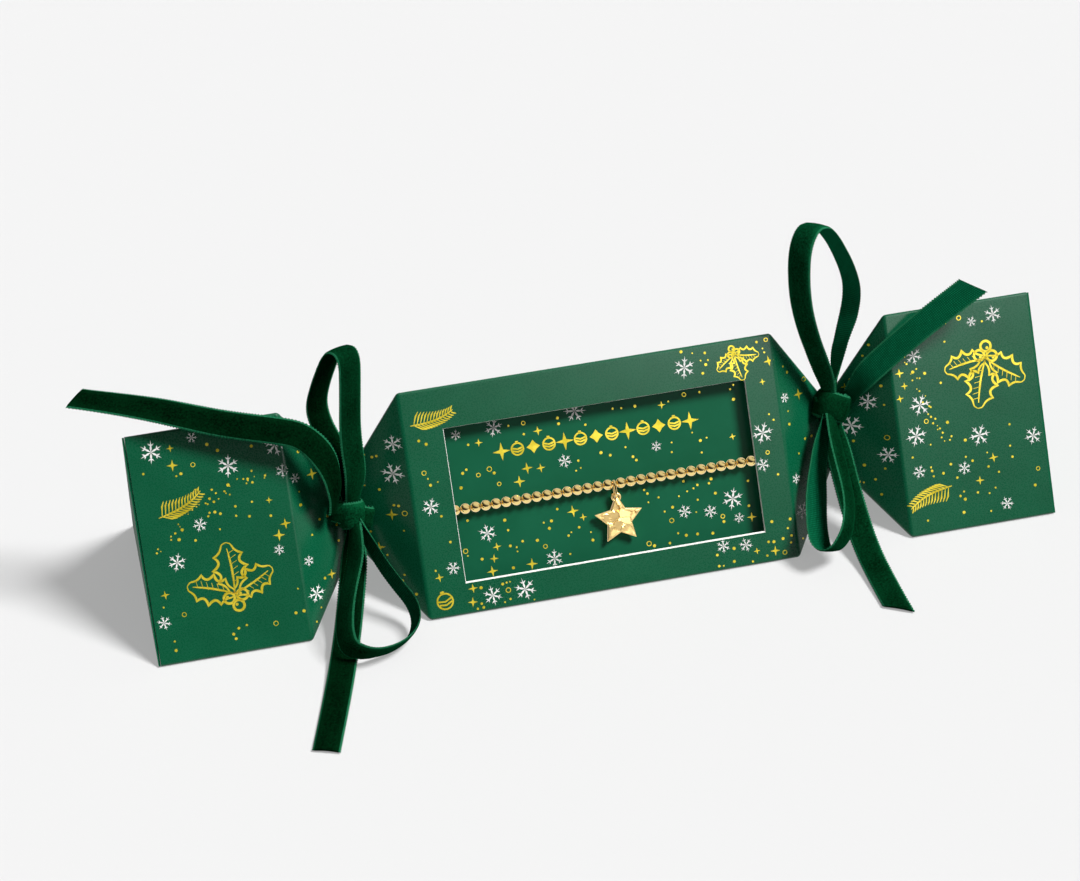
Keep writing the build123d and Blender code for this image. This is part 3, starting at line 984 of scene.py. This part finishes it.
class Print:
    """Gathers outlines on the carton's walls or the insert into two meshes."""

    def __init__(self):
        self.data = {"foil": ([], []), "ink": ([], [])}

    def lay(self, kind, where, outlines):
        verts, faces = self.data[kind]
        lift = FOIL_LIFT if kind == "foil" else INK_LIFT
        for line in outlines:
            start = len(verts)
            for x, a in line:
                if where == "insert":
                    verts.append(on_front(x, a + SIDE / 2, INSERT_DEPTH - lift))
                else:
                    verts.append(on_wall(where, x, a, lift))
            faces.append(tuple(range(start, start + len(line))))

    def strew(self, where, box, seed, counts, avoid=()):
        """Scatters flakes, glints, rings and dots over a patch, none on top of another.

        avoid holds places that are taken already, as (x, across, radius).
        """
        rng = random.Random(seed)
        x0, x1, a0, a1 = box
        taken = list(avoid)
        for sort, count in zip(("flake", "glint", "ring", "dot"), counts):
            for _ in range(count):
                size = {"flake": rng.choice((1.8, 2.3, 2.9, 3.5)), "glint": rng.uniform(1.0, 1.8),
                        "ring": rng.uniform(0.5, 0.7), "dot": rng.uniform(0.24, 0.5)}[sort]
                for _try in range(40):
                    x, a = rng.uniform(x0, x1), rng.uniform(a0, a1)
                    if where != "insert" and abs(a) > SIDE / 2 * inradius(x) / AXIS - size - EDGE_ROOM:
                        continue
                    if all(math.hypot(x - tx, a - ta) > size + tr for tx, ta, tr in taken):
                        break
                else:
                    continue
                taken.append((x, a, size + MARK_ROOM))
                angle = rng.uniform(-25, 25)
                if sort == "flake":
                    self.lay("ink", where, turned(flake(size), angle, (x, a)))
                    continue
                marks = {"glint": sparkle(size), "ring": ring(size, 0.22, 12), "dot": dot(size, 8)}[sort]
                self.lay("foil", where, turned(marks, angle / 4 if sort == "glint" else 0, (x, a)))

    def trail(self, where, start, end, sag, seed):
        """A drift of small dots along a bowed line."""
        rng = random.Random(seed)
        for i in range(26):
            t = i / 25
            x = start[0] + (end[0] - start[0]) * t + rng.gauss(0, 0.7)
            a = start[1] + (end[1] - start[1]) * t + sag * math.sin(math.pi * t) + rng.gauss(0, 0.8)
            self.lay("foil", where, turned(dot(rng.uniform(0.16, 0.36), 8), 0, (x, a)))

    def finish(self):
        for kind, mat in (("foil", FOIL), ("ink", INK)):
            verts, faces = self.data[kind]
            obj = add_object(f"print_{kind}", verts, faces, [mat], smooth=False)
            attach(obj, "carton")


art = Print()
# Left end: a holly sprig low down, a fir twig above it
art.lay("foil", "front", turned(holly(15, 0.75), 10, (-110, -16)))
art.lay("foil", "front", turned(fir(14, 0.6), -58, (-128, 9)))
art.trail("front", (-131, -2), (-96, 16), 5, 1)
art.strew("front", (-132, -91, -31, 31), 21, (10, 6, 3, 40), [(-110, -12, 13), (-122, 12, 6)])
# Right end: the sprig hangs from above, the twig lies at the foot
art.lay("foil", "front", turned(holly(15, 0.75), 172, (119, 16)))
art.lay("foil", "front", turned(fir(14, 0.6), 118, (104, -20)))
art.trail("front", (94, 24), (104, -6), -3, 2)
art.strew("front", (91.5, 132, -31, 31), 22, (10, 6, 3, 40), [(119, 12, 13), (99, -23, 6)])
# Middle: marks at the corners and down the window's sides
art.lay("foil", "front", turned(fir(13, 0.55), -70, (-53, 23.5)))
art.lay("foil", "front", turned(holly(8, 0.5), 200, (44, 29)))
art.lay("foil", "front", turned(bauble(2.3, 0.5), 12, (-50.5, -28.6)))
art.lay("ink", "front", turned(flake(3.1), 8, (-36.5, -29.2)))
art.strew("front", (-54, -46, -24, 20), 23, (2, 1, 1, 8))
art.strew("front", (48, 54.5, -26, 20), 24, (2, 1, 1, 6))
art.strew("front", (-44, -24, -33, -26), 25, (1, 2, 1, 16), [(-36.5, -29.2, 3.6)])
art.strew("front", (30, 54, -33, -26), 26, (2, 2, 1, 12))
art.strew("front", (26, 54, 24, 33), 27, (1, 1, 1, 10), [(44, 26, 8)])
# Tapers on both walls, then the back wall
for sign in (-1, 1):
    for near, far, seed in ((57.5, 69, 31), (76.5, 88, 33)):
        patch = (*sorted((sign * near, sign * far)), -30, 30)
        art.strew("front", patch, seed + sign, (3, 2, 1, 14))
        art.strew("back", patch, seed + 9 + sign, (3, 2, 1, 14))
    art.strew("back", (*sorted((sign * 92, sign * 132)), -30, 30), 50 + sign, (10, 6, 4, 40))
art.lay("foil", "back", turned(holly(15, 0.75), -20, (-30, -8)))
art.lay("foil", "back", turned(holly(15, 0.75), 150, (28, 10)))
art.strew("back", (-53, 53, -30, 30), 60, (20, 12, 6, 90), [(-30, -6, 14), (28, 8, 14)])
# Insert: a row of ornaments across the top, loose marks under the bracelet
ornaments = [(-27.3 + 4.7 * i, 11.4) for i in range(13)]
for i, spot in enumerate(ornaments):
    shape = (sparkle(2.7), bauble(1.75, 0.5), sparkle(2.0, 0.42), bauble(1.75, 0.5))[i % 4]
    art.lay("foil", "insert", turned(shape, 0, spot))
ornament_room = [(x, a, 3.2) for x, a in ornaments]
art.strew("insert", (-42, 44, 14.5, 20), 71, (3, 3, 2, 14), ornament_room)
art.strew("insert", (-42, 44, 1.5, 8), 72, (2, 4, 3, 18), ornament_room)
art.strew("insert", (-42, 44, -23.5, -6), 73, (6, 7, 5, 46), [(CHARM_X, -13, 8.5)])
art.finish()


# Floor, light and camera

FLOOR_HALF, FLOOR_Z = 4000, -0.05
# The paper's own colour, what the camera sees added to it, and the sheet that mirrors show
PAPER, PAPER_LIFT, PAPER_MIRRORED = 0.406, 0.335, 1.0
ROOM = 0.16


def floor():
    """Pale paper that keeps the shadow."""
    corners = [(-1, -1), (1, -1), (1, 1), (-1, 1)]
    verts = [(FLOOR_HALF * x, FLOOR_HALF * y, FLOOR_Z) for x, y in corners]
    obj = add_object("floor", verts, [(0, 1, 2, 3)], [])
    mat = bpy.data.materials.new("floor_paper")
    mat.use_nodes = True
    tree = mat.node_tree
    tree.nodes.clear()
    add, link = tree.nodes.new, tree.links.new
    out = add("ShaderNodeOutputMaterial")
    diffuse = add("ShaderNodeBsdfDiffuse")
    diffuse.inputs["Color"].default_value = (PAPER, PAPER, PAPER, 1)
    lift = add("ShaderNodeEmission")
    lift.inputs["Strength"].default_value = PAPER_LIFT
    both = add("ShaderNodeAddShader")
    mix = add("ShaderNodeMixShader")
    rays = add("ShaderNodeLightPath")
    link(diffuse.outputs[0], both.inputs[0])
    link(lift.outputs[0], both.inputs[1])
    link(rays.outputs["Is Camera Ray"], mix.inputs[0])
    link(diffuse.outputs[0], mix.inputs[1])
    link(both.outputs[0], mix.inputs[2])
    mirrored = add("ShaderNodeMath")
    mirrored.operation = "MAXIMUM"
    link(rays.outputs["Is Glossy Ray"], mirrored.inputs[0])
    link(rays.outputs["Is Transmission Ray"], mirrored.inputs[1])
    sheet = add("ShaderNodeEmission")
    sheet.inputs["Strength"].default_value = PAPER_MIRRORED
    last = add("ShaderNodeMixShader")
    link(mirrored.outputs[0], last.inputs[0])
    link(mix.outputs[0], last.inputs[1])
    link(sheet.outputs[0], last.inputs[2])
    link(last.outputs[0], out.inputs[0])
    obj.data.materials.append(mat)


floor()
scene = bpy.context.scene
scene.view_settings.view_transform = "Standard"


def studio():
    """Even, low room light; polished things also see a pale room above, behind and to the right."""
    world = bpy.data.worlds.new("studio")
    world.use_nodes = True
    tree = world.node_tree
    add, link = tree.nodes.new, tree.links.new
    room = tree.nodes["Background"]
    room.inputs[0].default_value = (1, 1, 1, 1)
    room.inputs[1].default_value = ROOM
    pale = add("ShaderNodeBackground")
    way = add("ShaderNodeTexCoord")
    facing = add("ShaderNodeVectorMath")
    facing.operation = "DOT_PRODUCT"
    facing.inputs[1].default_value = (0.5, 0.3, 0.81)
    link(way.outputs["Generated"], facing.inputs[0])
    shade = add("ShaderNodeMapRange")
    shade.interpolation_type = "SMOOTHSTEP"
    for socket, number in zip(shade.inputs[1:5], (0.1, 0.7, 0.04, 1.0)):
        socket.default_value = number
    link(facing.outputs["Value"], shade.inputs[0])
    link(shade.outputs[0], pale.inputs[1])
    rays = add("ShaderNodeLightPath")
    mix = add("ShaderNodeMixShader")
    link(rays.outputs["Is Glossy Ray"], mix.inputs[0])
    link(room.outputs[0], mix.inputs[1])
    link(pale.outputs[0], mix.inputs[2])
    link(mix.outputs[0], tree.nodes["World Output"].inputs[0])
    scene.world = world


studio()


def lamp(name, kind, energy, place, target, **settings):
    """A lamp at place that shines towards target."""
    data = bpy.data.lights.new(name, kind)
    data.energy = energy
    for key, value in settings.items():
        setattr(data, key, value)
    obj = bpy.data.objects.new(name, data)
    scene.collection.objects.link(obj)
    obj.location = place
    obj.rotation_mode = "QUATERNION"
    obj.rotation_quaternion = (Vector(target) - Vector(place)).to_track_quat("-Z", "Y")
    return obj


KEY = Vector((0.53, -0.225, 0.818))
key = lamp("key", "SUN", 4.87, KEY * 2, (0, 0, 0), angle=math.radians(18))
sheen = lamp("sheen_box", "AREA", 1.3, (0.25, -0.58, 0.43), (0.05, 0, 0.05),
             shape="RECTANGLE", size=0.26, size_y=0.16)
sheen.visible_diffuse = False
# The lamps miss the beads and the ring, and mirrors miss the card, so the gold shows the pale room and floor
lit = bpy.data.collections.new("lit")
for obj in scene.objects:
    if obj.type == "MESH" and "beads" not in obj.name and obj.name != "jump_ring":
        lit.objects.link(obj)
key.light_linking.receiver_collection = lit
sheen.light_linking.receiver_collection = lit
for obj in (skin, nodes["insert_card"], nodes["insert_base_return"], nodes["insert_back_return"]):
    obj.visible_glossy = False

# Camera fitted to the carton's corners in the photograph; its focal length is in pixels of that picture
CAM_EYE = Vector((-0.1483, -0.7160, 0.5838))
CAM_RIGHT = Vector((0.9761, -0.2135, -0.0402))
CAM_UP = Vector((0.1596, 0.5830, 0.7967))
FOCAL_PX, PICTURE_PX, SENSOR = 3109, 1080, 36
camera = bpy.data.cameras.new("camera")
camera.sensor_width = SENSOR
camera.lens = FOCAL_PX * SENSOR / PICTURE_PX
cam = bpy.data.objects.new("camera", camera)
scene.collection.objects.link(cam)
right = CAM_RIGHT.normalized()
back = right.cross(CAM_UP).normalized()
up = back.cross(right)
cam.matrix_world = Matrix.Translation(CAM_EYE) @ Matrix((right, up, back)).transposed().to_4x4()
scene.camera = cam
